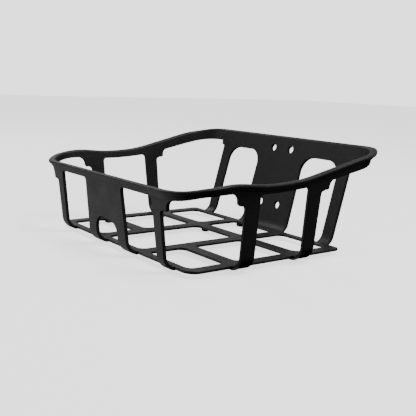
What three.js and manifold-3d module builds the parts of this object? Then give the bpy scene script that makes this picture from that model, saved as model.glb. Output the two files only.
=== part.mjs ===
// Open cargo basket: a low-fronted, high-backed basket of flat strip on a cut floor plate.
// The strips stand on the edge of the floor plate, flare outwards and carry a lipped rim.
// Millimetres, +X right, +Y back, +Z up. While it is being built, the middle of the floor
// plate's underside is at the origin; at the end the basket is set on its feet and centred.
import * as THREE from "three";
import { mergeVertices } from "three/addons/utils/BufferGeometryUtils.js";
import Module from "manifold-3d";

const wasm = await Module();
wasm.setup();

// ---------------------------------------------------------------- driving dimensions
const GAP = 0.3; // clearance left along every seam between two pieces

const FLOOR_WIDTH = 300;
const FLOOR_DEPTH = 222;
const FLOOR_THICK = 3.3;
const FLOOR_CORNERS = { front: 15, back: 7 };
const CELL_CORNER = 9;
const FRONT_BAR = 9.5;
const SIDE_BAR = 14;
const BACK_BAR = 9.5;
const LONG_BAR_X = 47; // the two bars that run front to back
const LONG_BAR_WIDTH = 15.5;
const CROSS_FRONT_Y = -46; // short bars, from the sides to the long bars only
const CROSS_BACK_Y = 42.5; // the bar that crosses the whole floor
const CROSS_BAR_WIDTH = 16;

const STRIP = 4.2; // thickness of the wall strips
const BEND = { radius: 18, drop: 1.6 }; // outside of the bend at a strip's foot, and its low point
const WALL_CORNERS = { front: 26, back: 17 }; // seen from above, at the plate's edge
// Each wall's outer face stands "foot" outside the floor plate and leans out by "lean".
const WALLS = {
  front: { foot: 12, lean: 0.113 },
  side: { foot: 12.5, lean: 0.125 },
  back: { foot: 10, lean: 0.275 },
};

// Heights of the rim's top and of its lower edge, along the depth of the basket.
const RIM_TOP = [[-133, 87.6], [-105, 92.2], [-75, 95.5], [-30, 92.7], [15, 95.3], [55, 104],
  [100, 114.8], [125, 119.7], [146, 124]];
const RIM_FOOT = [[-133, 77.3], [-108, 82.7], [-78, 85], [-27, 82.3], [20, 84.7], [50, 88.6],
  [76, 94.3], [111, 101.5], [146, 107.5]];
const BACK_RIM_FOOT = 100.5; // lower edge of the rim between the back legs
const LIP = { reach: 4.5, thick: 4, step: 1.8, stepDepth: 7.4, edge: 0.8 };

// The edges of the strips: [at the floor, 80 mm above it], measured along the wall.
const TAPER_HEIGHT = 80;
const FRONT_POST = { near: [108.2, 106], far: [121.7, 122.3] };
const SIDE_POST_FRONT = { near: [-55.2, -57.8], far: [-36.6, -38.8] };
const SIDE_POST_BACK = { near: [33.8, 30.2], far: [51.3, 50] };
const BACK_LEG = { near: [110, 109], far: [127, 127.2] };
const FRONT_PANEL = { near: [-45.3, -42.2], far: [45.3, 42.2] };
const BACK_PANEL = { near: [-45.3, -43.8], far: [45.3, 43.8] };
const LEG_MIDDLE = 118; // the rim's lower edge changes height here, behind each back leg
const ARCH = { half: 25, top: 35, corner: 17 };
const BOLT_HOLE = { radius: 4.9, x: 17, low: 32, high: 106.7 };
const FOOT_PAD = { radius: 5.5, drop: 5, stem: 2.5, socket: 2 }; // socket: depth into the plate
const FOOT_PADS = {
  front_side: [140, -46], back_side: [140, 42.5], middle: [31, 42.5], back: [33, 105],
};

// How a strip widens into the rim: a plain fillet, or a step between two fillets.
const SMALL_FILLET = { radius: 4.5 };
const ARCH_FILLET = { radius: 20 };
const SIDE_STEP = { fillet: 5, reach: 10.5, corner: 4, rise: 0, top: 9.5 };
const REAR_STEP = { fillet: 5, reach: 11.5, corner: 3, rise: 0.5, top: 8.5 };
const FRONT_STEP = { fillet: 3, reach: 11, corner: 2.5, rise: 1, top: 9 };
const BACK_STEP = { fillet: 3, reach: 6, corner: 2, rise: 1, top: 4 };

const HALF_X = FLOOR_WIDTH / 2;
const HALF_Y = FLOOR_DEPTH / 2;
const REACH = 260; // longer than any piece: used for cutting shapes
const PIN_LENGTH = 40; // of the round cutters for the bolt holes
const PIN_SIDES = 20;

// ---------------------------------------------------------------- materials
const coat = (name, color) => {
  return new THREE.MeshStandardMaterial({ name, color, roughness: 0.55, metalness: 0.1 });
};
const POWDER_COAT = coat("powder_coat", 0x1d1e20);
const RUBBER = new THREE.MeshStandardMaterial({ name: "rubber", color: 0x121212, roughness: 0.9 });

// ---------------------------------------------------------------- solids
const toSolid = (geometry) => {
  const bare = geometry.clone();
  bare.deleteAttribute("normal");
  bare.deleteAttribute("uv");
  const merged = mergeVertices(bare, 1e-4);
  return new wasm.Manifold(new wasm.Mesh({
    numProp: 3,
    vertProperties: new Float32Array(merged.attributes.position.array),
    triVerts: new Uint32Array(merged.index.array),
  }));
};

const toGeometry = (solid) => {
  const { vertProperties, triVerts } = solid.getMesh();
  const geometry = new THREE.BufferGeometry();
  geometry.setAttribute("position", new THREE.BufferAttribute(vertProperties, 3));
  geometry.setIndex(new THREE.BufferAttribute(triVerts, 1));
  geometry.computeVertexNormals();
  return geometry;
};

// A smooth curve through [y, value] knots, level before the first and after the last.
const through = (knots) => (y) => {
  const last = knots.length - 1;
  if (y <= knots[0][0]) return knots[0][1];
  if (y >= knots[last][0]) return knots[last][1];
  const i = knots.findIndex(([at]) => at > y) - 1;
  const slope = (a, b) => (knots[b][1] - knots[a][1]) / (knots[b][0] - knots[a][0]);
  const tangent = (k) => (k === 0 || k === last ? 0 : slope(k - 1, k + 1));
  const span = knots[i + 1][0] - knots[i][0];
  const t = (y - knots[i][0]) / span;
  const rise = knots[i + 1][1] - knots[i][1];
  const ease = t * t * (3 - 2 * t);
  const pull = t * (1 - t) ** 2 * tangent(i) - t * t * (1 - t) * tangent(i + 1);
  return knots[i][1] + rise * ease + span * pull;
};
const rimTop = through(RIM_TOP);
const rimFoot = through(RIM_FOOT);

// ---------------------------------------------------------------- the loop round the walls
// A station is a place on the rounded rectangle that the walls follow: it starts from the
// corner centres, "across" from -1 to 1 and "along" from 0 at the front to 1 at the back, and
// faces outwards in the direction (x, y). The stations run counter-clockwise from above.
const CORNER_STEPS = 8;
const SIDE_STEPS = 16;
const loopStations = () => {
  const stations = [];
  const corner = (across, along, quarter) => {
    for (let i = 0; i <= CORNER_STEPS; i += 1) {
      const turn = (quarter + i / CORNER_STEPS) * Math.PI / 2;
      stations.push({ across, along, x: Math.cos(turn), y: Math.sin(turn) });
    }
  };
  const side = (across) => {
    for (let i = 1; i < SIDE_STEPS; i += 1) {
      const along = (1 - across) / 2 + (across * i) / SIDE_STEPS;
      stations.push({ across, along, x: across, y: 0 });
    }
  };
  const behindLeg = (across) => {
    const middle = LEG_MIDDLE / (HALF_X - WALL_CORNERS.back);
    [1, -1].forEach((toEdge) => {
      const at = across * middle + toEdge * 0.01;
      stations.push({ across: at, along: 1, x: 0, y: 1, inner: Math.abs(at) < middle });
    });
  };
  side(1);
  corner(1, 1, 0);
  behindLeg(1);
  behindLeg(-1);
  corner(-1, 1, 1);
  side(-1);
  corner(-1, 0, 2);
  corner(1, 0, 3);
  return stations;
};
const STATIONS = loopStations();

// Where a station lies when the walls stand "off" outside the floor plate's edges. Corners
// keep their centres as the walls flare, so that their radius grows with the flare.
const planPoint = (station, off) => {
  const radii = { front: WALL_CORNERS.front + off.side, back: WALL_CORNERS.back + off.side };
  const radius = station.along < 0.5 ? radii.front : radii.back;
  const front = -(HALF_Y + off.front - radii.front);
  const back = HALF_Y + off.back - radii.back;
  const x = station.across * (HALF_X + off.side - radius) + station.x * radius;
  const y = front + (back - front) * station.along + station.y * radius;
  return { x, y };
};

const wallOffset = (name, z) => WALLS[name].foot + WALLS[name].lean * z;
const outerFace = (z) => {
  return { front: wallOffset("front", z), side: wallOffset("side", z), back: wallOffset("back", z) };
};
const RIM_LEVEL = 92; // the height at which a station's depth is read for the rim's curves
const depthOf = (station) => planPoint(station, outerFace(RIM_LEVEL)).y;
const footOf = (station) => (station.inner ? BACK_RIM_FOOT : rimFoot(depthOf(station)));

// A closed loft through every station; section(station) lists its points counter-clockwise,
// seen with "outwards" to the right and up upwards.
const loft = (section) => {
  const rings = STATIONS.map(section);
  const count = rings[0].length;
  const positions = rings.flat().flatMap(({ x, y, z }) => [x, y, z]);
  const index = [];
  rings.forEach((ring, i) => {
    const next = (i + 1) % rings.length;
    ring.forEach((_, k) => {
      const up = (k + 1) % count;
      const [a, b] = [i * count + k, i * count + up];
      const [c, d] = [next * count + up, next * count + k];
      index.push(a, d, c, a, c, b);
    });
  });
  const geometry = new THREE.BufferGeometry();
  geometry.setAttribute("position", new THREE.Float32BufferAttribute(positions, 3));
  geometry.setIndex(index);
  return geometry;
};

// ---------------------------------------------------------------- rim
const rimSection = (station) => {
  const top = rimTop(depthOf(station));
  const foot = footOf(station);
  const { reach, thick, step, stepDepth, edge } = LIP;
  const outline = [
    [0, foot], [0, top - stepDepth], [step, top - stepDepth + edge], [step, top - thick],
    [reach - edge / 2, top - thick], [reach, top - thick + edge / 2], [reach, top - edge],
    [reach - edge, top], [edge / 2 - STRIP, top], [-STRIP, top - edge / 2], [-STRIP, foot],
  ];
  return outline.map(([out, z]) => {
    const face = outerFace(z);
    const off = { front: face.front + out, side: face.side + out, back: face.back + out };
    return { ...planPoint(station, off), z };
  });
};

// ---------------------------------------------------------------- walls
// One wall in section: a bend that starts at the floor plate's edge, then a straight strip up
// to "top". Points are [distance outside the plate's edge, height]. Both bends share a centre,
// placed so that the outer one runs smoothly into the wall's leaning outer face.
const BEND_STEPS = 6;
const wallSection = ({ foot, lean }, top) => {
  const slant = Math.hypot(1, lean);
  const height = BEND.radius - BEND.drop;
  const centre = { out: foot + lean * height - BEND.radius * slant, z: height };
  const end = Math.PI / 2 - Math.atan(lean);
  const bend = (radius) => {
    const start = Math.asin((GAP - centre.out) / radius);
    return Array.from({ length: BEND_STEPS + 1 }, (_, i) => {
      const turn = start + ((end - start) * i) / BEND_STEPS;
      return [centre.out + radius * Math.sin(turn), centre.z - radius * Math.cos(turn)];
    });
  };
  return [
    ...bend(BEND.radius),
    [foot + lean * top, top],
    [foot - STRIP * slant + lean * top, top],
    ...bend(BEND.radius - STRIP).reverse(),
  ];
};

const wallRing = (station) => {
  const top = footOf(station) - GAP;
  const side = wallSection(WALLS.side, top);
  const front = wallSection(WALLS.front, top);
  const back = wallSection(WALLS.back, top);
  const end = station.along < 0.5 ? front : back;
  return side.map(([out, z], k) => {
    const off = { side: out, front: front[k][0], back: back[k][0] };
    const height = z * station.x ** 2 + end[k][1] * station.y ** 2;
    return { ...planPoint(station, off), z: height };
  });
};
const WALL_RING = toSolid(loft(wallRing));

// ---------------------------------------------------------------- outlines of the strips
// Outlines are drawn flat, [distance along the wall, height], then cut through the wall ring.
const arcPoints = (cx, cz, radius, from, to, steps = 6) => {
  return Array.from({ length: steps + 1 }, (_, i) => {
    const turn = THREE.MathUtils.degToRad(from + ((to - from) * i) / steps);
    return [cx + radius * Math.cos(turn), cz + radius * Math.sin(turn)];
  });
};

// Both kinds of widening, drawn upwards from an edge at 0 and growing towards +1; the rim's
// lower edge is at height 0.
const filletPoints = ({ radius }) => arcPoints(radius, -radius, radius, 180, 90);
const stepPoints = ({ fillet, reach, corner, rise, top }) => {
  const ledge = -top - rise - corner;
  return [
    ...arcPoints(fillet, ledge - fillet, fillet, 180, 90, 4),
    ...arcPoints(reach - corner, ledge + corner, corner, -90, 0, 3),
    ...arcPoints(reach + top, -top, top, 180, 90),
  ];
};
const widening = (spec) => (spec.reach ? stepPoints(spec) : filletPoints(spec));

// A strip from the near edge to the far edge, widened at its top on both sides. "rimAt"
// gives the height of the rim's lower edge at a place along the wall.
const BELOW = -20;
const ABOVE = 140;
const edgeAt = ([atFloor, above], z) => atFloor + ((above - atFloor) * z) / TAPER_HEIGHT;
const stripOutline = ({ near, far }, nearSpec, farSpec, rimAt) => {
  const place = (edge, direction, spec) => {
    const points = widening(spec);
    const tip = rimAt(edgeAt(edge, RIM_LEVEL) + direction * points.at(-1)[0]);
    return points.map(([along, z]) => [edgeAt(edge, tip + z) + direction * along, tip + z]);
  };
  const left = place(near, -1, nearSpec);
  const right = place(far, 1, farSpec);
  return [
    [edgeAt(near, BELOW), BELOW], ...left, [left.at(-1)[0], ABOVE],
    [right.at(-1)[0], ABOVE], ...right.reverse(), [edgeAt(far, BELOW), BELOW],
  ];
};

const archOutline = ({ half, top, corner }) => [
  [half, BELOW], ...arcPoints(half - corner, top - corner, corner, 0, 90),
  ...arcPoints(corner - half, top - corner, corner, 90, 180), [-half, BELOW],
];

// ---------------------------------------------------------------- cutting the strips out
// A prism of the outline, reaching from the middle of the basket out past one wall.
const AXES = { x: new THREE.Vector3(1, 0, 0), y: new THREE.Vector3(0, 1, 0) };
const UP = new THREE.Vector3(0, 0, 1);
const FACING = {
  front: new THREE.Matrix4().makeBasis(AXES.x, UP, AXES.y.clone().negate()),
  back: new THREE.Matrix4().makeBasis(AXES.x.clone().negate(), UP, AXES.y),
  right: new THREE.Matrix4().makeBasis(AXES.y, UP, AXES.x),
  left: new THREE.Matrix4().makeBasis(AXES.y.clone().negate(), UP, AXES.x.clone().negate()),
};
const prism = (outline, wall) => {
  const shape = new THREE.Shape(outline.map(([along, z]) => new THREE.Vector2(along, z)));
  const geometry = new THREE.ExtrudeGeometry(shape, { depth: REACH, bevelEnabled: false });
  return toSolid(geometry.applyMatrix4(FACING[wall]));
};
const mirrored = (outline) => outline.map(([along, z]) => [-along, z]).reverse();
const cutStrip = (outline, wall) => WALL_RING.intersect(prism(outline, wall));

const frontRim = () => RIM_FOOT[0][1];
const backRim = (x) => (x > LEG_MIDDLE ? RIM_FOOT.at(-1)[1] : BACK_RIM_FOOT);

const frontPost = stripOutline(FRONT_POST, SMALL_FILLET, FRONT_STEP, frontRim);
const backLeg = stripOutline(BACK_LEG, ARCH_FILLET, BACK_STEP, backRim);
const frontPanelOutline = stripOutline(FRONT_PANEL, SMALL_FILLET, SMALL_FILLET, frontRim);
const backPanelOutline = stripOutline(BACK_PANEL, ARCH_FILLET, ARCH_FILLET, backRim);
const sidePostFront = stripOutline(SIDE_POST_FRONT, SIDE_STEP, SMALL_FILLET, rimFoot);
const sidePostBack = stripOutline(SIDE_POST_BACK, SMALL_FILLET, REAR_STEP, rimFoot);

const frontPanel = () => {
  const arch = prism(archOutline(ARCH), "front");
  return cutStrip(frontPanelOutline, "front").subtract(arch);
};

// A round pin of the given radius through the back wall, square to it, at a height.
const backPin = (radius, x, z) => {
  const tilt = Math.atan(WALLS.back.lean);
  const pin = new THREE.CylinderGeometry(radius, radius, PIN_LENGTH, PIN_SIDES);
  pin.rotateX(-tilt); // the cylinder starts along y, so it ends square to the leaning wall
  pin.translate(x, HALF_Y + wallOffset("back", z), z);
  return toSolid(pin);
};
const uprightPin = (radius, x, y, low, high) => {
  const pin = new THREE.CylinderGeometry(radius, radius, high - low, PIN_SIDES);
  pin.rotateX(Math.PI / 2);
  pin.translate(x, y, (low + high) / 2);
  return toSolid(pin);
};

// The pair of bolt holes at one height, cut through a piece of the back wall.
const drilled = (solid, z) => {
  return [-1, 1].reduce((rest, side) => {
    return rest.subtract(backPin(BOLT_HOLE.radius, side * BOLT_HOLE.x, z));
  }, solid);
};
const rim = () => drilled(toSolid(loft(rimSection)), BOLT_HOLE.high);
const backPanel = () => drilled(cutStrip(backPanelOutline, "back"), BOLT_HOLE.low);

// ---------------------------------------------------------------- floor plate
const roundedRectangle = (left, right, front, back, corners) => {
  const shape = new THREE.Shape();
  const [near, far] = [corners.front, corners.back];
  shape.absarc(right - far, back - far, far, 0, Math.PI / 2);
  shape.absarc(left + far, back - far, far, Math.PI / 2, Math.PI);
  shape.absarc(left + near, front + near, near, Math.PI, Math.PI * 1.5);
  shape.absarc(right - near, front + near, near, Math.PI * 1.5, Math.PI * 2);
  shape.closePath();
  return shape;
};

const floorPlate = () => {
  const plate = roundedRectangle(-HALF_X, HALF_X, -HALF_Y, HALF_Y, FLOOR_CORNERS);
  const frontEdge = FRONT_BAR - HALF_Y;
  const backEdge = HALF_Y - BACK_BAR;
  const half = CROSS_BAR_WIDTH / 2;
  const outside = { near: LONG_BAR_X + LONG_BAR_WIDTH / 2, far: HALF_X - SIDE_BAR };
  const inside = LONG_BAR_X - LONG_BAR_WIDTH / 2;
  const beside = [
    [frontEdge, CROSS_FRONT_Y - half],
    [CROSS_FRONT_Y + half, CROSS_BACK_Y - half],
    [CROSS_BACK_Y + half, backEdge],
  ];
  const between = [[frontEdge, CROSS_BACK_Y - half], [CROSS_BACK_Y + half, backEdge]];
  const cell = (left, right) => ([front, back]) => {
    const corners = { front: CELL_CORNER, back: CELL_CORNER };
    plate.holes.push(roundedRectangle(left, right, front, back, corners));
  };
  beside.forEach(cell(outside.near, outside.far));
  beside.forEach(cell(-outside.far, -outside.near));
  between.forEach(cell(-inside, inside));
  const options = { depth: FLOOR_THICK, bevelEnabled: false, curveSegments: 6 };
  let solid = toSolid(new THREE.ExtrudeGeometry(plate, options));
  [-1, 1].forEach((side) => {
    Object.values(FOOT_PADS).forEach(([x, y]) => {
      const socket = uprightPin(FOOT_PAD.stem + GAP, side * x, y, -1, FOOT_PAD.socket + GAP);
      solid = solid.subtract(socket);
    });
  });
  return solid;
};

// ---------------------------------------------------------------- pads under the floor
// A domed pad whose stem is pressed up into the plate.
const footPad = (x, y) => {
  const { radius, drop, stem, socket } = FOOT_PAD;
  const dome = new THREE.EllipseCurve(0, -drop + radius * 0.45, radius, radius * 0.45,
    -Math.PI / 2, 0).getPoints(5);
  const profile = [
    ...dome, new THREE.Vector2(radius, -GAP), new THREE.Vector2(stem, -GAP),
    new THREE.Vector2(stem, socket), new THREE.Vector2(0, socket),
  ];
  profile[0].x = 0;
  const pad = new THREE.LatheGeometry(profile, PIN_SIDES);
  pad.rotateX(Math.PI / 2);
  pad.translate(x, y, 0);
  return toSolid(pad);
};

// ---------------------------------------------------------------- assembly
const basket = new THREE.Group();
basket.name = "cargo_basket";
const add = (name, solid, material = POWDER_COAT) => {
  const mesh = new THREE.Mesh(toGeometry(solid), material);
  mesh.name = name;
  basket.add(mesh);
};

add("floor_plate", floorPlate());
add("rim", rim());
add("front_panel", frontPanel());
add("back_panel", backPanel());
add("front_post_right", cutStrip(frontPost, "front"));
add("front_post_left", cutStrip(mirrored(frontPost), "front"));
add("back_leg_right", cutStrip(mirrored(backLeg), "back"));
add("back_leg_left", cutStrip(backLeg, "back"));
add("side_post_front_right", cutStrip(sidePostFront, "right"));
add("side_post_front_left", cutStrip(mirrored(sidePostFront), "left"));
add("side_post_back_right", cutStrip(sidePostBack, "right"));
add("side_post_back_left", cutStrip(mirrored(sidePostBack), "left"));
[["left", -1], ["right", 1]].forEach(([name, side]) => {
  Object.entries(FOOT_PADS).forEach(([place, [x, y]]) => {
    add(`foot_pad_${place}_${name}`, footPad(side * x, y), RUBBER);
  });
});

// Stand it on its pads with the middle of its bounding box over the origin.
const box = new THREE.Box3().setFromObject(basket);
const middlePoint = box.getCenter(new THREE.Vector3());
basket.children.forEach((mesh) => mesh.position.set(-middlePoint.x, -middlePoint.y, -box.min.z));

export default basket;
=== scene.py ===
# %% [markdown]
# # An open cargo basket, modelled in Blender
#
# The basket is a floor plate with rounded cells, a hoop-shaped rim with a lip, and ten strips
# that bend up from the plate and carry the rim. Everything is black powder-coated metal, and
# the basket stands on eight small rubber pads.
#
# The frame that is loaded first fixes where every piece is and how large it is. The lesson is
# how to turn those plain, flat-sided solids into surfaces with rounded edges and a real finish.

# %% Load the frame
import math

import bmesh
import bpy
import numpy as np
from mathutils import Matrix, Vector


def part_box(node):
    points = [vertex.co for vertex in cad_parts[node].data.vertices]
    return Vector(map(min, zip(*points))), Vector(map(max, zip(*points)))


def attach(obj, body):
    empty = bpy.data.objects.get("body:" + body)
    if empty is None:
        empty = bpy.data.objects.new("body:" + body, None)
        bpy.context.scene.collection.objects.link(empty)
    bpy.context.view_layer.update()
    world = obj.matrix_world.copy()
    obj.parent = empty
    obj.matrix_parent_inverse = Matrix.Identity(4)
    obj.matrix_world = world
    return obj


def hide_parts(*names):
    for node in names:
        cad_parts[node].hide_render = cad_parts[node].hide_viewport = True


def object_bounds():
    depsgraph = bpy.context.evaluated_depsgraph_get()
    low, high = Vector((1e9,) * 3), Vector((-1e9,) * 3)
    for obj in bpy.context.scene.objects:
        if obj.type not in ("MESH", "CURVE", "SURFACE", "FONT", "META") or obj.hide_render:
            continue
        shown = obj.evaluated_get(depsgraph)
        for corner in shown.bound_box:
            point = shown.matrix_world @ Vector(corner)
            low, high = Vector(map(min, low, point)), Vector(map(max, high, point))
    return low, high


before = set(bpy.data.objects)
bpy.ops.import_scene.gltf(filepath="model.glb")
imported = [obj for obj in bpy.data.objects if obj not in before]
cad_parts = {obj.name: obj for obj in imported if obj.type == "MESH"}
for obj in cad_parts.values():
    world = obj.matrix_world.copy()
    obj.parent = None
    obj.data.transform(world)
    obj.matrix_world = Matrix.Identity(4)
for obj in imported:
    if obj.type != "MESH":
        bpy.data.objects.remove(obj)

cad_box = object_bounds()
plate_low, plate_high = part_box("floor_plate")
print("the plate is", [round(1000 * size, 1) for size in plate_high - plate_low], "mm")

# %% [markdown]
# ## The camera
#
# A product picture is taken from a little above the rim, with a longish lens, so that the
# sides stay nearly parallel. An azimuth turns the camera round the basket, a pitch tips it
# down, and a roll turns it about its own axis. Three rotations in that order say just that.

# %% Camera
AZIMUTH = math.radians(53.05)
PITCH = math.radians(10.46)
ROLL = math.radians(2.03)
CAMERA_PLACE = (0.6959, -0.5122, 0.2000)
LENS_MM = 59.2
SENSOR_MM = 36

camera_data = bpy.data.cameras.new("camera")
camera_data.lens = LENS_MM
camera_data.sensor_width = SENSOR_MM
camera = bpy.data.objects.new("camera", camera_data)
bpy.context.scene.collection.objects.link(camera)
camera.location = CAMERA_PLACE
camera.rotation_mode = "QUATERNION"
camera.rotation_quaternion = (
    Matrix.Rotation(AZIMUTH, 3, "Z")
    @ Matrix.Rotation(math.pi / 2 - PITCH, 3, "X")
    @ Matrix.Rotation(ROLL, 3, "Z")
).to_quaternion()
bpy.context.scene.camera = camera
print("the camera looks from", CAMERA_PLACE, "with a lens of", LENS_MM, "mm")

# %% [markdown]
# ## Units and the design frame
#
# Sheet metal is drawn in millimetres, with zero in the middle of the plate's underside. The
# design frame keeps that, and one function carries points into the scene's metres. The plate's
# own box says how far the two frames are apart.

# %% Design frame, in millimetres
MM = 0.001
HALF_X = (plate_high.x - plate_low.x) / MM / 2
HALF_Y = (plate_high.y - plate_low.y) / MM / 2
PLATE_THICK = (plate_high.z - plate_low.z) / MM
PLATE_PLACE = np.array([0, (plate_high.y + plate_low.y) / 2, plate_low.z])

STRIP = 4.2  # thickness of the wall strips and of the rim's band
BEND_RADIUS = 18.0  # outside of the bend at a strip's foot
BEND_DROP = 1.6  # the bend's lowest point, below the plate's underside
WALLS = {
    "front": {"foot": 12.0, "lean": 0.113},
    "side": {"foot": 12.5, "lean": 0.125},
    "back": {"foot": 10.0, "lean": 0.275},
}
CORNERS = {"front": 26.0, "back": 17.0}  # radii seen from above, at the plate's edge


def to_scene(points):
    """Design millimetres to scene metres: scale, then shift by the plate's place."""
    return np.asarray(points, float) * MM + PLATE_PLACE


def face_offset(wall, z):
    """How far a wall's outer face stands outside the plate at height z: foot + lean x z."""
    return WALLS[wall]["foot"] + WALLS[wall]["lean"] * z


for wall, spec in WALLS.items():
    print(f"the {wall} wall leans out by {math.degrees(math.atan(spec['lean'])):.1f} degrees")

# %% [markdown]
# ## From arrays to meshes
#
# Every new surface is a grid of points. Its faces join each point to its neighbours, and where
# a surface closes on itself the last row or column joins the first. Numpy works out all the
# indices at once, so there is no loop over points.
#
# Pieces that are made of several grids share points along their joints. Points closer together
# than a tenth of a micrometre are one point, so the joints close, and then every face is
# turned to look outwards.

# %% Mesh helpers
SAME_POINT = 1e-7  # metres


def grid_faces(rows, columns, loop_rows=False):
    """Quads of a grid whose columns close on themselves: (i, j), (i, j+1), (i+1, j+1), (i+1, j)."""
    last = rows if loop_rows else rows - 1
    i, j = np.meshgrid(np.arange(last), np.arange(columns), indexing="ij")
    below, right = (i + 1) % rows, (j + 1) % columns
    corners = [i * columns + j, i * columns + right, below * columns + right, below * columns + j]
    return np.stack(corners, -1).reshape(-1, 4)


def make_piece(name, points, faces):
    """A mesh object with its normals turned outwards and smooth shading."""
    mesh = bpy.data.meshes.new(name)
    mesh.from_pydata(to_scene(points).tolist(), [], [list(face) for face in faces])
    work = bmesh.new()
    work.from_mesh(mesh)
    bmesh.ops.remove_doubles(work, verts=work.verts, dist=SAME_POINT)
    bmesh.ops.recalc_face_normals(work, faces=work.faces)
    work.to_mesh(mesh)
    work.free()
    mesh.shade_smooth()
    piece = bpy.data.objects.new(name, mesh)
    bpy.context.scene.collection.objects.link(piece)
    return piece


def tube_piece(name, rings):
    """rings[row, column, xyz] as a closed solid: a wrapped grid with a flat cap at each end."""
    rows, columns = rings.shape[:2]
    caps = [np.arange(columns)[::-1], np.arange(columns) + (rows - 1) * columns]
    faces = [*grid_faces(rows, columns), *caps]
    return make_piece(name, rings.reshape(-1, 3), faces)


def stand_for(piece, node):
    """The new piece takes the place of a node of the frame and rides on the one rigid body."""
    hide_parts(node)
    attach(piece, "root")
    print(f"{node}: {len(piece.data.polygons)} faces")


# %% [markdown]
# ## The line of the rim
#
# The rim rises from the low front over a small crest, dips where a hand reaches in, and climbs
# to the high back. A few heights along the depth are enough: a cubic Hermite curve passes
# through them smoothly, with the slope at each knot taken from its two neighbours. A curve
# object could be drawn instead, but a function can be asked for the height at any depth, and
# the strips have to ask, because each of them ends at the rim's lower edge.

# %% Heights of the rim along the depth of the basket
RIM_TOP = [(-133, 87.6), (-105, 92.2), (-75, 95.5), (-30, 92.7), (15, 95.3), (55, 104),
           (100, 114.8), (125, 119.7), (146, 124)]
RIM_FOOT = [(-133, 77.3), (-108, 82.7), (-78, 85), (-27, 82.3), (20, 84.7), (50, 88.6),
            (76, 94.3), (111, 101.5), (146, 107.5)]
BACK_RIM_FOOT = 100.5  # between the back legs the band is deeper


def through(knots, y):
    """A curve through [y, value] knots: ease x rise + pull of the end slopes, level outside."""
    at, value = np.array(knots, float).T
    slope = np.zeros(len(at))
    slope[1:-1] = (value[2:] - value[:-2]) / (at[2:] - at[:-2])
    y = np.clip(y, at[0], at[-1])
    i = np.clip(np.searchsorted(at, y, side="right") - 1, 0, len(at) - 2)
    span = at[i + 1] - at[i]
    t = (y - at[i]) / span
    ease = t * t * (3 - 2 * t)
    pull = t * (1 - t) ** 2 * slope[i] - t * t * (1 - t) * slope[i + 1]
    return value[i] + (value[i + 1] - value[i]) * ease + span * pull


print("the rim is", RIM_TOP[0][1], "mm high at the front and", RIM_TOP[-1][1], "mm at the back")


# %% [markdown]
# ## The loop that the rim follows
#
# From above, the walls follow a rounded rectangle. A station on it is a corner's centre plus
# an outward direction. When the walls flare, the corners keep their centres and only their
# radius grows, which is why one set of stations serves every height. A curve object with a
# bevel profile makes a hoop too, but its profile can't lean differently at the front, the
# sides and the back, as the walls of this basket do.

# %% Stations round the loop
CORNER_STEPS = 28
SIDE_STEPS = 72
LEG_EDGE = 126.0  # behind each back leg's outer edge the band changes depth
LEG_GAP = 0.008  # share of the half width between the stations on each side of that edge
BACK_SPAN, BACK_STEPS = 0.9, 31  # the even stations between the legs
RIM_LEVEL = 92  # the height at which a station's depth is read


def corner_stations(across, along, quarter):
    """Stations of one corner: the centre's place, then cos and sin of a quarter turn."""
    turn = (quarter + np.linspace(0, 1, CORNER_STEPS + 1)) * math.pi / 2
    rest = np.ones_like(turn)
    return np.stack([across * rest, along * rest, np.cos(turn), np.sin(turn)], 1)


def side_stations(across):
    """Stations of a side wall, backwards on the left so that the loop goes one way round."""
    along = np.linspace(0, 1, SIDE_STEPS + 1)[1:-1][::across]
    rest = np.ones_like(along)
    return np.stack([across * rest, along, across * rest, 0 * rest], 1)


def back_stations():
    """Stations of the back wall: even in the middle, and a close pair at each leg's edge."""
    edge = LEG_EDGE / (HALF_X - CORNERS["back"])
    pair = np.array([edge + LEG_GAP, edge - LEG_GAP])
    across = np.concatenate([pair, np.linspace(BACK_SPAN, -BACK_SPAN, BACK_STEPS), -pair[::-1]])
    rest = np.ones_like(across)
    return np.stack([across, rest, 0 * rest, rest], 1)


STATIONS = np.concatenate([
    side_stations(1), corner_stations(1, 1, 0), back_stations(), corner_stations(-1, 1, 1),
    side_stations(-1), corner_stations(-1, 0, 2), corner_stations(1, 0, 3),
])


def plan_points(stations, front, side, back):
    """x and y of stations when the walls stand front, side and back outside the plate."""
    across, along, nx, ny = np.moveaxis(stations, -1, 0)
    front_radius, back_radius = CORNERS["front"] + side, CORNERS["back"] + side
    radius = np.where(along < 0.5, front_radius, back_radius)
    start = -(HALF_Y + front - front_radius)
    end = HALF_Y + back - back_radius
    x = across * (HALF_X + side - radius) + nx * radius
    y = start + (end - start) * along + ny * radius
    return x, y


def wall_offsets(z, out=0.0):
    """Offsets of the three kinds of wall. A depth into a leaning sheet takes hypot(1, lean)
    times as much when it is measured level."""
    return [face_offset(wall, z) + np.where(out < 0, out * math.hypot(1, spec["lean"]), out)
            for wall, spec in WALLS.items()]


print("the loop has", len(STATIONS), "stations")

# %% [markdown]
# ## The rim
#
# The rim is one profile carried round the loop: a flat band, a small step, and a lip that
# turns outwards. Rounded edges matter most here, because every highlight sits on one. Each
# corner of the profile becomes an arc, with one more point just past each end of the arc, so
# that smooth shading stays in the rounding and leaves the flats flat.

# %% The rim's profile, as [out of the band's outer face, height under the top]
SUPPORT = 0.35  # distance of the extra points that keep the flats flat


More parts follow.
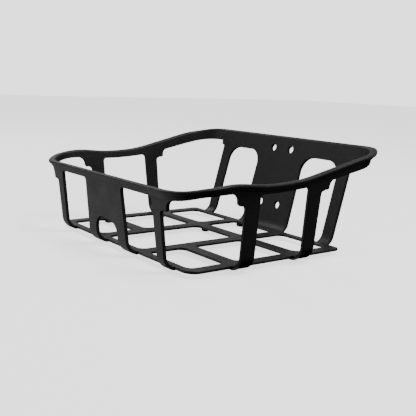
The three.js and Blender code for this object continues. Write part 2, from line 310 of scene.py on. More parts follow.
def rounded(corners, radii, steps=5):
    """A closed outline with arcs for corners. An arc of radius r in a corner of angle a
    starts r / tan(a / 2) before the corner, and its centre is r / sin(a / 2) away from it."""
    corners = np.array(corners, float)
    t = np.linspace(0, 1, steps + 1)[:, None]
    pieces = []
    for k, radius in enumerate(radii):
        corner = corners[k]
        before, after = corners[k - 1] - corner, corners[(k + 1) % len(corners)] - corner
        u, v = before / np.linalg.norm(before), after / np.linalg.norm(after)
        half = math.acos(np.clip(u @ v, -1, 1)) / 2
        reach = radius / math.tan(half)
        centre = corner + (u + v) / np.linalg.norm(u + v) * radius / math.sin(half)
        first, last = corner + u * reach - centre, corner + v * reach - centre
        swing = math.pi - 2 * half
        arc = (np.sin((1 - t) * swing) * first + np.sin(t * swing) * last) / math.sin(swing)
        pieces += [[corner + u * (reach + SUPPORT)], centre + arc,
                   [corner + v * (reach + SUPPORT)]]
    return np.concatenate(pieces)


BAND = 20.0  # nominal depth; the real depth comes from the rim's two curves
LIP_REACH, LIP_THICK = 4.5, 4.0
STEP_REACH, STEP_DEPTH, STEP_SLOPE = 1.8, 7.4, 0.5
RIM_CORNERS = [(0, -BAND), (0, -STEP_DEPTH), (STEP_REACH, -STEP_DEPTH + STEP_SLOPE),
               (STEP_REACH, -LIP_THICK), (LIP_REACH, -LIP_THICK), (LIP_REACH, 0),
               (-STRIP, 0), (-STRIP, -BAND)]
RIM_RADII = [0.8, 0.35, 0.6, 0.4, 0.9, 1.6, 2.0, 0.8]
print("the profile of the rim has", len(rounded(RIM_CORNERS, RIM_RADII)), "points")


# %% The rim
def rim_rings():
    """rings[station, profile point]: heights hang from the rim's top or stand on its foot. The
    foot is cut square to the leaning sheet, so it climbs by depth x sin(lean) inwards."""
    depth = plan_points(STATIONS, *wall_offsets(RIM_LEVEL))[1]
    top = through(RIM_TOP, depth)[:, None]
    inner = (np.abs(STATIONS[:, 0]) * (HALF_X - CORNERS["back"]) < LEG_EDGE)
    inner &= (STATIONS[:, 1] == 1) & (STATIONS[:, 3] == 1)
    foot = np.where(inner, BACK_RIM_FOOT, through(RIM_FOOT, depth))[:, None]
    out, fall = rounded(RIM_CORNERS, RIM_RADII).T
    ends = np.where(STATIONS[:, 1] < 0.5, WALLS["front"]["lean"], WALLS["back"]["lean"])
    lean = STATIONS[:, 2] ** 2 * WALLS["side"]["lean"] + STATIONS[:, 3] ** 2 * ends
    square_cut = np.maximum(-out, 0) * np.sin(np.arctan(lean))[:, None]
    z = np.where(fall < -BAND / 2, foot + fall + BAND + square_cut, top + fall)
    x, y = plan_points(STATIONS[:, None, :], *wall_offsets(z, out))
    return np.stack([x, y, z], -1)


rings = rim_rings()
rim = make_piece("rim_hoop", rings.reshape(-1, 3), grid_faces(*rings.shape[:2], loop_rows=True))
print("the rim has", len(rim.data.polygons), "faces")

# %% [markdown]
# ## Walls as sheet metal
#
# A strip starts as a flat blank: one axis runs along the wall and one up its outer face. The
# press bends the foot round a radius and the rest leans out straight. So a point of the blank
# is placed by three numbers: along the wall, up the face, and how deep under the face. A
# Simple Deform modifier bends a sheet too, but here each edge has to land on a known spot.
# The same mapping serves all ten strips, and the edges stay square to the sheet. Where a strip
# of an end wall reaches past the start of the rounded corner, it follows the corner's arc.

# %% Bending the blank
PROUD = 0.02  # the strips stand this far proud of the band, which hides the seam
LOWEST_TURN = 0.12  # radians: the foot starts just under the plate


def bend_of(wall):
    """The bend of a wall: its centre, its swing, and the height where the straight starts."""
    lean = WALLS[wall]["lean"]
    tilt = math.atan(lean)
    centre_z = BEND_RADIUS - BEND_DROP
    centre_out = face_offset(wall, centre_z) - BEND_RADIUS * math.hypot(1, lean)
    return {"out": centre_out, "z": centre_z, "tilt": tilt, "swing": math.pi / 2 - tilt,
            "start": centre_z - BEND_RADIUS * math.sin(tilt)}


def up_the_face(wall, z):
    """Distance up the outer face, from the bend's lowest point, of a height on the straight."""
    bend = bend_of(wall)
    return BEND_RADIUS * bend["swing"] + (z - bend["start"]) / math.cos(bend["tilt"])


def sheet_points(wall, along, up, deep):
    """Blank to basket. In the bend, out = centre + (R - deep) sin(turn) and z = centre
    - (R - deep) cos(turn). Past it, the rest goes straight up the leaning face. In a corner of
    radius r, a point that lies "over" past its start is set back by r - sqrt(r r - over over)."""
    kind = "side" if wall in ("left", "right") else wall
    bend = bend_of(kind)
    turn = np.clip(up / BEND_RADIUS, 0, bend["swing"])
    rest = np.maximum(up - BEND_RADIUS * bend["swing"], 0)
    radius = BEND_RADIUS - deep
    out = bend["out"] + radius * np.sin(turn) + rest * math.sin(bend["tilt"])
    z = bend["z"] - radius * np.cos(turn) + rest * math.cos(bend["tilt"])
    if kind == "side":
        sign = 1 if wall == "right" else -1
        return np.stack([sign * (HALF_X + out), along + 0 * out, z], -1)
    straight = HALF_X - CORNERS[kind]
    corner = CORNERS[kind] + face_offset("side", z) - deep
    over = np.maximum(np.abs(along) - straight, 0)
    setback = corner - np.sqrt(corner**2 - over**2)
    sign = 1 if kind == "back" else -1
    return np.stack([along + 0 * out, sign * (HALF_Y + out - setback), z], -1)


side_bend = round(BEND_RADIUS * bend_of("side")["swing"], 1)
print("the bend takes up the first", side_bend, "mm of a side strip")

# %% [markdown]
# ## Outlines of the strips
#
# Each strip widens where it meets the rim. Some widen by a plain fillet, the middle of the back
# by a fillet as large as an arch, and the corner-side edges by a small step: a fillet, a ledge,
# a rounded corner and a last fillet. All are lists of arcs, so a few radii describe them.

# %% Edges and widenings, in millimetres
TAPER_HEIGHT = 80  # an edge is given by its places at the floor and at this height
ARC_STEP = 0.4  # length of a step along an arc
FILLET = {"radius": 4.5}
ARCH = {"radius": 20.0}
SIDE_STEP = {"fillet": 5, "reach": 10.5, "corner": 4, "rise": 0, "top": 9.5}
REAR_STEP = {"fillet": 5, "reach": 11.5, "corner": 3, "rise": 0.5, "top": 8.5}
FRONT_STEP = {"fillet": 3, "reach": 11, "corner": 2.5, "rise": 1, "top": 9}
BACK_STEP = {"fillet": 3, "reach": 6, "corner": 2, "rise": 1, "top": 4}


def arc_points(centre, radius, start, end):
    """Points on an arc from one angle to another, in degrees, about ARC_STEP apart."""
    steps = max(4, int(radius * math.radians(abs(end - start)) / ARC_STEP))
    turn = np.radians(np.linspace(start, end, steps + 1))
    return np.stack([centre[0] + radius * np.cos(turn), centre[1] + radius * np.sin(turn)], 1)


def widening(spec):
    """Drawn upwards from an edge at 0 and growing towards +1; the rim's lower edge is at 0."""
    if "reach" not in spec:
        radius = spec["radius"]
        return arc_points((radius, -radius), radius, 180, 90)
    fillet, reach, corner, top = (spec[key] for key in ("fillet", "reach", "corner", "top"))
    ledge = -top - spec["rise"] - corner
    return np.concatenate([
        arc_points((fillet, ledge - fillet), fillet, 180, 90),
        arc_points((reach - corner, ledge + corner), corner, -90, 0),
        arc_points((reach + top, -top), top, 180, 90),
    ])


def edge_at(edge, z):
    """An edge runs straight from its place at the floor to its place at TAPER_HEIGHT."""
    return edge[0] + (edge[1] - edge[0]) * z / TAPER_HEIGHT


def edge_line(kind, edge, direction, spec, rim_at):
    """One edge of a strip on the blank, from the start of the straight up to the rim."""
    points = widening(spec)
    tip = rim_at(edge_at(edge, RIM_LEVEL) + direction * points[-1, 0])
    z = tip + points[:, 1]
    along = edge_at(edge, z) + direction * points[:, 0]
    start = bend_of(kind)["start"]
    line = np.stack([along, up_the_face(kind, z)], 1)
    foot = [[edge_at(edge, start), up_the_face(kind, start)]]
    return np.concatenate([foot, line])


def resampled(line, count):
    """The same line with its points evenly spaced by length."""
    steps = np.linalg.norm(np.diff(line, axis=0), axis=1)
    length = np.concatenate([[0], np.cumsum(steps)])
    at = np.linspace(0, length[-1], count)
    return np.stack([np.interp(at, length, line[:, k]) for k in (0, 1)], 1)


for title, spec in (("side", SIDE_STEP), ("rear", REAR_STEP), ("front", FRONT_STEP)):
    print("the", title, "step widens a post by", widening(spec)[-1, 0], "mm")

# %% [markdown]
# ## Skinning a strip
#
# With a left and a right edge on the blank, a strip is a section carried from the foot to the
# rim. The section is a thin rounded rectangle, and it is written so that each point belongs
# to one edge: an inset from that edge and a depth under the face. The inset is measured square
# to the edge, so the rounding keeps its size round every fillet and ledge. A Bevel modifier
# rounds edges with less work, but where the steps of a fillet are short it pinches.
#
# The real basket has no visible seam where a strip meets the rim. So a strip runs on past the
# rim's lower edge, a hair proud of the band, and then dives under the band's surface.

# %% Section of a strip
EDGE_ROUND = 0.9
ROUND_STEPS = 6
BEND_ROWS = 16
STRAIGHT_ROWS = 220


def edge_section():
    """Inset from the edge and depth under the face, from the outer face round to the inner."""
    turn = np.linspace(0, math.pi / 2, ROUND_STEPS)
    inset, deep = EDGE_ROUND * (1 - np.sin(turn)), EDGE_ROUND * (1 - np.cos(turn))
    inset = np.concatenate([[EDGE_ROUND + SUPPORT], inset, inset[::-1], [EDGE_ROUND + SUPPORT]])
    return inset, np.concatenate([[0], deep, STRIP - deep[::-1], [STRIP]])


TUCK = np.array([1.0, 3.5, 4.5])  # rows above the rim's lower edge
TUCK_SINK = np.array([0.0, 0.27, 0.27])  # how deep they lie, measured from the proud surface


def inward(line, toward, tucked):
    """Unit vectors square to a line on the blank, pointing to where "toward" lies along the
    wall. The tucked rows at the end keep the direction of the last row before them."""
    free = line[:len(line) - tucked]
    along = np.gradient(free, axis=0)
    normal = np.stack([-along[:, 1], along[:, 0]], 1)
    normal /= np.linalg.norm(normal, axis=1, keepdims=True)
    normal *= np.sign(normal[0, 0] * (toward - line[0, 0]))
    return np.concatenate([normal, np.repeat(normal[-1:], tucked, axis=0)])


def edge_skin(wall, line, toward, tucked=len(TUCK)):
    """The section carried along one edge: points[row, section point, xyz]."""
    inset, deep = edge_section()
    blank = line[:, None, :] + inward(line, toward, tucked)[:, None, :] * inset[None, :, None]
    proud = np.full(len(line), PROUD)
    proud[len(line) - tucked:] -= TUCK_SINK[:tucked]
    depth = deep + (deep / STRIP * 2 - 1) * proud[:, None]
    return sheet_points(wall, blank[..., 0], blank[..., 1], depth)


def skin(wall, left, right):
    """rings[row, section point]: the left edge's section, then the right edge's, reversed."""
    a = edge_skin(wall, left, right[0, 0])
    b = edge_skin(wall, right, left[0, 0])
    return np.concatenate([a, b[:, ::-1]], 1)


def foot_rows(kind, edge):
    """The edge's points in the bend, from under the plate to the start of the straight."""
    bend = bend_of(kind)
    turn = np.linspace(LOWEST_TURN, bend["swing"], BEND_ROWS)[:-1]
    z = bend["z"] - BEND_RADIUS * np.cos(turn)
    return np.stack([edge_at(edge, z), BEND_RADIUS * turn], 1)


def whole_edge(kind, edge, direction, spec, rim_at):
    """An edge from under the plate, through the bend and up to the rows tucked in the rim."""
    line = resampled(edge_line(kind, edge, direction, spec, rim_at), STRAIGHT_ROWS)
    tuck = line[-1] + TUCK[:, None] * [0, 1]
    return np.concatenate([foot_rows(kind, edge), line, tuck])


print("a strip's section has", 2 * len(edge_section()[0]), "points")


# %% The eight posts and legs
def side_rim(y):
    """The height of the rim's lower edge on a side wall."""
    return float(through(RIM_FOOT, y))


def front_rim(_):
    """On the front wall it is level."""
    return RIM_FOOT[0][1]


def back_rim(x):
    """On the back wall it is lower between the legs than outside them."""
    return RIM_FOOT[-1][1] if abs(x) > LEG_EDGE else BACK_RIM_FOOT


STRIPS = {  # wall, inner or front edge, outer or back edge, how each widens, height of the rim
    "front_post": ("front", (108.2, 106), (121.7, 122.3), FILLET, FRONT_STEP, front_rim),
    "side_post_front": ("side", (-55.2, -57.8), (-36.6, -38.8), SIDE_STEP, FILLET, side_rim),
    "side_post_back": ("side", (33.8, 30.2), (51.3, 50), FILLET, REAR_STEP, side_rim),
    "back_leg": ("back", (110, 109), (127, 127.2), ARCH, BACK_STEP, back_rim),
}
MIRROR = {"right": 1, "left": -1}


def make_strip(name, side):
    """One strip and its mirror image: on an end wall x changes sign, on a side wall the wall."""
    kind, near, far, near_spec, far_spec, rim_at = STRIPS[name]
    left = whole_edge(kind, near, -1, near_spec, rim_at)
    right = whole_edge(kind, far, 1, far_spec, rim_at)
    rings = skin(side if kind == "side" else kind, left, right)
    if kind != "side":
        rings = rings * [MIRROR[side], 1, 1]
    return tube_piece(f"{name}_{side}_strip", rings)


coated = {}
for name in STRIPS:
    for side in MIRROR:
        coated[f"{name}_{side}"] = make_strip(name, side)
print("made", len(coated), "posts and legs")

# %% [markdown]
# ## The front panel
#
# The front panel stands on two legs with an arch between them. Each leg is skinned like a post,
# between the panel's outside and the arch, and both legs end in the middle of the arch's crown.
# Above them the panel is one wide strip, which takes its first row from the legs. It gets one
# more column in the middle, where the two legs meet.

# %% Front panel
PANEL_EDGE = (45.3, 42.2)
ARCH_HALF, ARCH_TOP, ARCH_CORNER = 25.0, 35.0, 17.0
ARCH_SIDE_ROWS = 12
CROWN_RISE = 0.5  # how much higher a leg's last row is at the outside
BODY_ROWS = 120


def arch_line():
    """The arch's edge on the right: up the side, round the corner and to the crown's middle."""
    low = bend_of("front")["start"]
    spring = ARCH_TOP - ARCH_CORNER
    rise = np.linspace(low, spring, ARCH_SIDE_ROWS)
    side = np.stack([np.full_like(rise, ARCH_HALF), rise], 1)
    corner = arc_points((ARCH_HALF - ARCH_CORNER, spring), ARCH_CORNER, 0, 90)
    line = np.concatenate([side, corner[1:], [[0, ARCH_TOP]]])
    line[:, 1] = up_the_face("front", line[:, 1])
    return np.concatenate([foot_rows("front", (ARCH_HALF, ARCH_HALF)), line])


def outside_of_leg(arch):
    """The outside edge, with a row level with each point of the arch's inner support line."""
    foot = foot_rows("front", PANEL_EDGE)
    support = arch + inward(arch, PANEL_EDGE[0], 0) * (EDGE_ROUND + SUPPORT)
    up = support[len(foot):, 1].copy()
    up[-1] += CROWN_RISE
    z = (up - up_the_face("front", 0)) * math.cos(bend_of("front")["tilt"])
    return np.concatenate([foot, np.stack([edge_at(PANEL_EDGE, z), up], 1)])


def front_panel():
    """Both legs, one the mirror image of the other, and the body above them, as one mesh."""
    arch = arch_line()
    outside = outside_of_leg(arch)
    arch_skin = edge_skin("front", arch, PANEL_EDGE[0], 0)
    leg = np.concatenate([arch_skin, edge_skin("front", outside, 0, 0)[:, ::-1]], 1)
    above = edge_line("front", PANEL_EDGE, 1, FILLET, front_rim)
    above = resampled(np.concatenate([outside[-1:], above[1:]]), BODY_ROWS)
    above = np.concatenate([above, above[-1] + TUCK[:, None] * [0, 1]])
    right = edge_skin("front", above, 0)
    left = right * [-1, 1, 1]
    middle = (left + right) / 2
    middle[0] = arch_skin[-1]
    body = np.concatenate([left, middle[:, -1:], right[:, ::-1], middle[:, :1]], 1)
    points, faces, used = [], [], 0
    for grid, capped_row in ((leg, 0), (leg * [-1, 1, 1], 0), (body, len(body) - 1)):
        rows, columns = grid.shape[:2]
        cap = np.arange(columns) + capped_row * columns
        faces += [*(grid_faces(rows, columns) + used), cap + used]
        points.append(grid.reshape(-1, 3))
        used += rows * columns
    return make_piece("front_panel_sheet", np.concatenate(points), faces)


coated["front_panel"] = front_panel()
print("the front panel has", len(coated["front_panel"].data.vertices), "points")

# %% [markdown]
# ## The back panel and its bolt holes
#
# The back panel is skinned like a post. Four bolts hold the basket to its bracket: two go
# through the panel and two through the rim's band above it, where the panel's tucked rows are
# drilled too. A drill with a countersink leaves a softened edge, so the cutter is a spool that
# widens at both faces of the sheet, and a boolean takes it away. Weighted normals then keep
# the large flats flat in the shading.

# %% Back panel
BACK_PANEL_EDGE = (45.3, 43.8)


def back_panel():
    """A strip whose two edges mirror each other."""
    right = whole_edge("back", BACK_PANEL_EDGE, 1, ARCH, back_rim)
    return tube_piece("back_panel_sheet", skin("back", right * [-1, 1], right))


coated["back_panel"] = back_panel()
print("the back panel has", len(coated["back_panel"].data.vertices), "points")

# %% Bolt holes
HOLE_RADIUS, HOLE_X = 4.9, 17.0
HOLE_LOW, HOLE_HIGH = 32.0, 106.7
SOFTENING = 0.4  # radius of the softened edge
CUTTER_STEPS, FLARE_STEPS = 64, 5
CUTTER_REACH, CUTTER_SPREAD = 3.0, 1.5  # how far the spool goes on, and how much it widens
SLIVER = 1e-5  # metres; what a cut leaves closer together than this is merged


def spool(x, z):
    """A cutter square to the back wall. Its radius is the hole's in the middle of the sheet,
    and it grows along a quarter circle just before each face."""
    deep = np.linspace(0, math.pi / 2, FLARE_STEPS)
    flare = SOFTENING * (1 - np.cos(deep))
    rise = SOFTENING * np.sin(deep)
    inner = np.stack([STRIP / 2 - SOFTENING + rise, HOLE_RADIUS + flare], 1)
    end = [[STRIP / 2 + CUTTER_REACH, HOLE_RADIUS + SOFTENING + CUTTER_SPREAD]]
    half = np.concatenate([inner, end])
    profile = np.concatenate([half[::-1] * [-1, 1], half])
    turn = np.linspace(0, 2 * math.pi, CUTTER_STEPS, endpoint=False)
    tilt = math.atan(WALLS["back"]["lean"])
    outward = np.array([0, math.cos(tilt), -math.sin(tilt)])
    upward = np.array([0, math.sin(tilt), math.cos(tilt)])
    middle = np.array([x, HALF_Y + face_offset("back", z), z]) - outward * STRIP / 2
    across = np.cos(turn)[:, None] * [1, 0, 0] + np.sin(turn)[:, None] * upward
    return tube_piece("cutter", middle + profile[:, :1, None] * outward
                      + profile[:, 1:, None] * across[None])


def drilled(piece, *heights):
    """Takes a pair of spools at each height away and keeps the result as the piece's mesh."""
    for x, z in ((side * HOLE_X, height) for side in (-1, 1) for height in heights):
        cutter = spool(x, z)
        cut = piece.modifiers.new("hole", "BOOLEAN")
        cut.operation = "DIFFERENCE"
        cut.solver = "EXACT"
        cut.object = cutter
        bpy.context.view_layer.update()
        graph = bpy.context.evaluated_depsgraph_get()
        result = bpy.data.meshes.new_from_object(piece.evaluated_get(graph))
        piece.modifiers.clear()
        piece.data = result
        bpy.data.objects.remove(cutter)
    work = bmesh.new()
    work.from_mesh(piece.data)
    bmesh.ops.remove_doubles(work, verts=work.verts, dist=SLIVER)
    bmesh.ops.dissolve_degenerate(work, edges=work.edges, dist=SLIVER)
    work.to_mesh(piece.data)
    work.free()
    piece.data.shade_smooth()
    return piece


drilled(coated["back_panel"], HOLE_LOW, HOLE_HIGH)
coated["rim"] = drilled(rim, HOLE_HIGH)
print("drilled four holes of", 2 * HOLE_RADIUS, "mm")

# %% The coated pieces take their places
FLATNESS = 80  # how strongly large faces rule the normals; 50 is neutral

for node, piece in coated.items():
    weighted = piece.modifiers.new("flat faces stay flat", "WEIGHTED_NORMAL")
    weighted.weight = FLATNESS
    stand_for(piece, node)

# %% [markdown]
# ## The floor plate
#
# The plate is cut from sheet: an outside and eight rounded cells. All nine outlines are rounded
# rectangles, written as corner centres plus a radius times a direction, so a line offset by
# any distance is the same formula with another radius. The rounded edge is that offset carried
# through a quarter circle, and the flats are filled between the innermost lines. Cutting the
# cells with a boolean would leave sharp edges, which then need a bevel of their own.

# %% Floor plate
PLATE_CORNERS = {"front": 15.0, "back": 7.0}
CELL_CORNER = 9.0
FRONT_BAR, SIDE_BAR, BACK_BAR = 9.5, 14.0, 9.5
LONG_BAR = (39.25, 54.75)  # inner and outer edge of the bars that run front to back
CROSS_FRONT, CROSS_BACK = (-54.0, -38.0), (34.5, 50.5)
PLATE_ROUND = 0.8
OUTLINE_STEPS = 12


def outline(left, right, front, back, corners, offset=0.0):
    """Points of a rounded rectangle moved outwards by offset: centre + (radius + offset) n."""
    turn = np.linspace(0, math.pi / 2, OUTLINE_STEPS + 1)
    near, far = corners
    quarters = [(right - far, back - far, far), (left + far, back - far, far),
                (left + near, front + near, near), (right - near, front + near, near)]
    parts = []
    for k, (x, y, radius) in enumerate(quarters):
        angle = turn + k * math.pi / 2
        parts.append(np.stack([x + (radius + offset) * np.cos(angle),
                               y + (radius + offset) * np.sin(angle)], 1))
    return np.concatenate(parts)


def plate_outlines():
    """The outside first, then the cells, as (left, right, front, back, corner radii)."""
    front, back = FRONT_BAR - HALF_Y, HALF_Y - BACK_BAR
    outer = HALF_X - SIDE_BAR
    cells = []
    for low, high in ((front, CROSS_FRONT[0]), (CROSS_FRONT[1], CROSS_BACK[0]),
                      (CROSS_BACK[1], back)):
        cells += [(LONG_BAR[1], outer, low, high), (-outer, -LONG_BAR[1], low, high)]
    for low, high in ((front, CROSS_BACK[0]), (CROSS_BACK[1], back)):
        cells.append((-LONG_BAR[0], LONG_BAR[0], low, high))
    outside = (-HALF_X, HALF_X, -HALF_Y, HALF_Y, (PLATE_CORNERS["front"], PLATE_CORNERS["back"]))
    return [outside] + [(*cell, (CELL_CORNER, CELL_CORNER)) for cell in cells]


def edge_wall(shape, into_metal):
    """rings[level, outline point] of one cut edge, rounded at the bottom and at the top."""
    turn = np.linspace(0, math.pi / 2, ROUND_STEPS)
    inset = PLATE_ROUND * (1 - np.sin(turn))
    height = PLATE_ROUND * (1 - np.cos(turn))
    inset = np.concatenate([[PLATE_ROUND + SUPPORT], inset, inset[::-1], [PLATE_ROUND + SUPPORT]])
    height = np.concatenate([[0], height, PLATE_THICK - height[::-1], [PLATE_THICK]])
    levels = []
    for d, z in zip(inset, height):
        line = outline(*shape, offset=into_metal * d)
        levels.append(np.concatenate([line, np.full((len(line), 1), z)], 1))
    return np.stack(levels)


def make_plate():
    """Nine edge walls, then flats filled between their open lines, below and above."""
    points, faces, used = [], [], 0
    for k, shape in enumerate(plate_outlines()):
        wall = edge_wall(shape, -1 if k == 0 else 1)
        faces.append(grid_faces(*wall.shape[:2]) + used)
        points.append(wall.reshape(-1, 3))
        used += len(points[-1])
    piece = make_piece("floor_plate_sheet", np.concatenate(points), np.concatenate(faces))
    work = bmesh.new()
    work.from_mesh(piece.data)
    open_edges = [edge for edge in work.edges if edge.is_boundary]
    middle = (plate_low.z + plate_high.z) / 2
    for low in (True, False):
        around = [edge for edge in open_edges if (edge.verts[0].co.z < middle) == low]
        bmesh.ops.triangle_fill(work, edges=around, use_beauty=True)
    bmesh.ops.recalc_face_normals(work, faces=work.faces)
    work.to_mesh(piece.data)
    work.free()
    piece.data.shade_smooth()
    return piece


plate = make_plate()
stand_for(plate, "floor_plate")

# %% [markdown]
# ## The pads
#
# Eight small pads keep the coating off whatever the basket stands on. A pad is a surface of
# revolution: a profile from the middle of the dome out to its rim and back to the stem, turned
# about an upright axis. A Screw modifier does the same, and a grid needs only two lines.

# %% Pads
PAD_RADIUS, PAD_DROP = 5.5, 5.0
PAD_CROWN = 0.45  # height of the dome, as a share of the pad's radius
SHOULDER, SHOULDER_DEPTH = 0.6, 0.9
STEM_RADIUS, STEM_FOOT, STEM_TOP = 2.5, -0.3, 1.9
DOME_HOLE, STEM_HOLE = 0.05, 0.6  # radii of the small flats that close both ends
PAD_STEPS, DOME_STEPS = 48, 14


def make_pad(node):
    """Dome: r = R sin(t), z = -drop + crown (1 - cos(t)), then a soft shoulder and the stem."""
    low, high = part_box(node)
    centre = (np.array(low + high) / 2 - PLATE_PLACE) / MM
    t = np.linspace(0, math.pi / 2, DOME_STEPS)[1:]
    crown = PAD_CROWN * PAD_RADIUS
    dome = np.stack([PAD_RADIUS * np.sin(t), -PAD_DROP + crown * (1 - np.cos(t))], 1)
    shoulder = arc_points((PAD_RADIUS - SHOULDER, -SHOULDER_DEPTH), SHOULDER, 0, 90)
    stem = [[STEM_RADIUS, STEM_FOOT], [STEM_RADIUS, STEM_TOP], [STEM_HOLE, STEM_TOP]]
    profile = np.concatenate([[[DOME_HOLE, -PAD_DROP]], dome, shoulder, stem])
    turn = np.linspace(0, 2 * math.pi, PAD_STEPS, endpoint=False)
    radius, z = profile[:, :1], profile[:, 1:] + 0 * turn
    x, y = centre[0] + radius * np.cos(turn), centre[1] + radius * np.sin(turn)
    return tube_piece(node + "_rubber", np.stack([x, y, z], -1))


pads = {node: make_pad(node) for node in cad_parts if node.startswith("foot_pad")}
for node, piece in pads.items():
    stand_for(piece, node)

# %% [markdown]
# ## Powder coat
#
# Fine-texture powder coat is black but never dead black: it has a grain well under a
# millimetre, a slower waviness, and a roughness that changes a little from place to place.
# Noise on Object coordinates does not stretch or slide, whatever the piece, and an image
# would need a seam somewhere on the hoop. The two bumps are chained: the grain rides on the
# waviness. Rubber is duller and has a grain of its own.

# %% Materials
NOISE_SPAN = (0.3, 0.7)  # where noise mostly lies
COAT_GRAIN = {"scale": 2600.0, "detail": 2.0, "distance": 0.00012, "strength": 0.6}
COAT_WAVES = {"scale": 260.0, "detail": 3.0, "distance": 0.0002, "strength": 0.15}
COAT_PATCHES = {"scale": 45.0, "detail": 4.0}
COAT_DARK, COAT_PALE = (0.010, 0.010, 0.0102), (0.020, 0.020, 0.0205)
COAT_ROUGHNESS = (0.42, 0.54)
RUBBER_GRAIN = {"scale": 1800.0, "detail": 2.0, "distance": 0.00005, "strength": 0.5}
RUBBER_PATCHES = {"scale": 300.0, "detail": 3.0}
RUBBER_COLOR, RUBBER_ROUGHNESS = (0.012, 0.012, 0.012), (0.7, 0.9)


def new_material(name, color, roughness):
    """A material and its Principled shader."""
    material = bpy.data.materials.new(name)
    material.use_nodes = True
    shader = material.node_tree.nodes["Principled BSDF"]
    shader.inputs["Base Color"].default_value = (*color, 1)
    shader.inputs["Roughness"].default_value = roughness
    return material, shader


def noise(tree, kind):
    """Noise that is fixed to the piece: Texture Coordinate, Object, into a Noise Texture."""
    place = tree.nodes.new("ShaderNodeTexCoord")
    texture = tree.nodes.new("ShaderNodeTexNoise")
    texture.inputs["Scale"].default_value = kind["scale"]
    texture.inputs["Detail"].default_value = kind["detail"]
    tree.links.new(place.outputs["Object"], texture.inputs["Vector"])
    return texture.outputs["Fac"]


def bump(tree, height, kind, under=None):
    """A bump from a height, on top of the bump under it."""
    node = tree.nodes.new("ShaderNodeBump")
    node.inputs["Distance"].default_value = kind["distance"]
    node.inputs["Strength"].default_value = kind["strength"]
    tree.links.new(height, node.inputs["Height"])
    if under is not None:
        tree.links.new(under, node.inputs["Normal"])
    return node.outputs["Normal"]


def ranged(tree, value, low, high):
    """Noise, stretched from where it mostly lies to a range."""
    node = tree.nodes.new("ShaderNodeMapRange")
    node.inputs["From Min"].default_value = NOISE_SPAN[0]
    node.inputs["From Max"].default_value = NOISE_SPAN[1]
    node.inputs["To Min"].default_value = low
    node.inputs["To Max"].default_value = high
    tree.links.new(value, node.inputs["Value"])
    return node.outputs["Result"]


def mixed_color(tree, factor, first, second):
    """A colour between two, by a factor."""
    node = tree.nodes.new("ShaderNodeMix")
    node.data_type = "RGBA"
    node.inputs["A"].default_value = (*first, 1)
    node.inputs["B"].default_value = (*second, 1)
    tree.links.new(factor, node.inputs["Factor"])
    return node.outputs["Result"]


def powder_coat():
    """Black, with a paler grain, and rougher and smoother patches."""
    material, shader = new_material("powder_coat_black", COAT_DARK, COAT_ROUGHNESS[0])
    tree = material.node_tree
    grain = noise(tree, COAT_GRAIN)
    waves = bump(tree, noise(tree, COAT_WAVES), COAT_WAVES)
    surface = bump(tree, grain, COAT_GRAIN, under=waves)
    patches = noise(tree, COAT_PATCHES)
    tint = mixed_color(tree, ranged(tree, grain, 0, 1), COAT_DARK, COAT_PALE)
    tree.links.new(tint, shader.inputs["Base Color"])
    tree.links.new(ranged(tree, patches, *COAT_ROUGHNESS), shader.inputs["Roughness"])
    tree.links.new(surface, shader.inputs["Normal"])
    return material


def rubber():
    """Dull black, with a fine grain."""
    material, shader = new_material("rubber_black", RUBBER_COLOR, RUBBER_ROUGHNESS[0])
    tree = material.node_tree
    surface = bump(tree, noise(tree, RUBBER_GRAIN), RUBBER_GRAIN)
    patches = noise(tree, RUBBER_PATCHES)
    tree.links.new(ranged(tree, patches, *RUBBER_ROUGHNESS), shader.inputs["Roughness"])
    tree.links.new(surface, shader.inputs["Normal"])
    return material


def dress(pieces, material):
    """Gives every piece the one material."""
    for piece in pieces:
        piece.data.materials.clear()
        piece.data.materials.append(material)
    print(material.name, "is on", len(pieces), "pieces")


dress([*coated.values(), plate], powder_coat())
dress(list(pads.values()), rubber())

# %% [markdown]
# ## The studio
#
# Black objects are drawn by what they reflect. The sky is nearly black to them, with four soft
# patches: low in front on the left, behind on the right, overhead, and near the horizon
# behind on the left. Four soft lights stand in front, on the left, overhead and, a small one,
# behind on the right. The right side faces the dark, so it falls into shade. A pale, faintly
# glowing floor closes the set. It is hidden from reflections, so that it doesn't grey the coat.

# %% Floor
FLOOR_REACH, FLOOR_LEVEL = 6.0, -0.0002
FLOOR_GLOW = 1.6
FLOOR_COLOR, FLOOR_ROUGHNESS = (0.85, 0.85, 0.85), 0.9

floor_mesh = bpy.data.meshes.new("studio_floor")
floor_corners = [(x * FLOOR_REACH, y * FLOOR_REACH, FLOOR_LEVEL)
                 for x, y in ((-1, -1), (1, -1), (1, 1), (-1, 1))]
floor_mesh.from_pydata(floor_corners, [], [(0, 1, 2, 3)])
studio_floor = bpy.data.objects.new("studio_floor", floor_mesh)
bpy.context.scene.collection.objects.link(studio_floor)
studio_floor.visible_diffuse = False
studio_floor.visible_glossy = False
floor_material, floor_shader = new_material("pale_floor", FLOOR_COLOR, FLOOR_ROUGHNESS)
floor_shader.inputs["Emission Color"].default_value = (1, 1, 1, 1)
floor_shader.inputs["Emission Strength"].default_value = FLOOR_GLOW
floor_mesh.materials.append(floor_material)
print("the floor is", 2 * FLOOR_REACH, "m wide")


# %% Lights
def soft_light(name, place, size, power):
    """An area light that looks at the middle of the basket."""
    data = bpy.data.lights.new(name, "AREA")
    data.size = size
    data.energy = power
    light = bpy.data.objects.new(name, data)
    bpy.context.scene.collection.objects.link(light)
    light.location = place
    aim = light.location - (cad_box[0] + cad_box[1]) / 2
    light.rotation_mode = "QUATERNION"
    light.rotation_quaternion = aim.to_track_quat("Z", "Y")
    return light


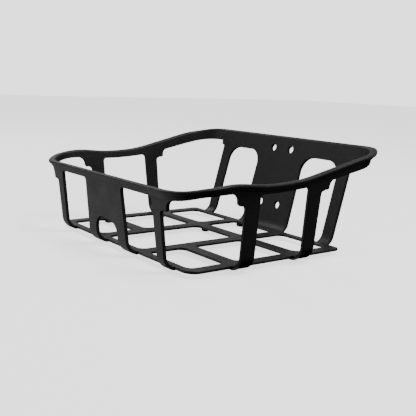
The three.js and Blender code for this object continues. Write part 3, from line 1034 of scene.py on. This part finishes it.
lights = [  # place, size and power
    soft_light("key", (-0.9, -1.6, 1.0), 1.0, 4.5),
    soft_light("left", (-1.5, 0.1, 1.25), 0.8, 5.5),
    soft_light("overhead", (0.8, 0.3, 1.7), 0.8, 21),
    soft_light("right", (1.15, 0.96, 0.31), 0.22, 0.7),
]
print("lit by", len(lights), "soft lights")

# %% Sky
SKY_PALE, SKY_BASE = 2.2, 0.008
SKY_GLOWS = [  # direction, where the glow starts and is full as a dot product, strength
    ((-0.70, -0.50, -0.50), 0.50, 1.0, 0.68),
    ((0.70, 0.60, 0.50), 0.65, 1.0, 0.3),
    ((0.0, 0.0, 1.0), 0.20, 1.0, 0.2),
    ((-0.75, 0.65, 0.08), 0.78, 1.0, 0.55),
]
world = bpy.data.worlds.new("studio_sky")
bpy.context.scene.world = world
world.use_nodes = True
tree = world.node_tree
direction = tree.nodes.new("ShaderNodeTexCoord")


def glow(towards, start, full, strength):
    """A soft patch of sky: the dot product with its direction, stretched to its strength."""
    dot = tree.nodes.new("ShaderNodeVectorMath")
    dot.operation = "DOT_PRODUCT"
    dot.inputs[1].default_value = np.array(towards) / np.linalg.norm(towards)
    tree.links.new(direction.outputs["Generated"], dot.inputs[0])
    fade = tree.nodes.new("ShaderNodeMapRange")
    fade.interpolation_type = "SMOOTHSTEP"
    fade.inputs["From Min"].default_value = start
    fade.inputs["From Max"].default_value = full
    fade.inputs["To Max"].default_value = strength
    tree.links.new(dot.outputs["Value"], fade.inputs["Value"])
    return fade.outputs["Result"]


total = None
for patch in SKY_GLOWS:
    add = tree.nodes.new("ShaderNodeMath")
    add.inputs[0].default_value = SKY_BASE  # only the first patch keeps this
    tree.links.new(glow(*patch), add.inputs[1])
    if total is not None:
        tree.links.new(total, add.inputs[0])
    total = add.outputs["Value"]
seen = tree.nodes.new("ShaderNodeLightPath")
choice = tree.nodes.new("ShaderNodeMix")
choice.inputs["B"].default_value = SKY_PALE
tree.links.new(seen.outputs["Is Camera Ray"], choice.inputs["Factor"])
tree.links.new(total, choice.inputs["A"])
tree.links.new(choice.outputs["Result"], tree.nodes["Background"].inputs["Strength"])
tree.nodes["Background"].inputs["Color"].default_value = (1, 1, 1, 1)
print("the sky has", len(SKY_GLOWS), "soft patches")
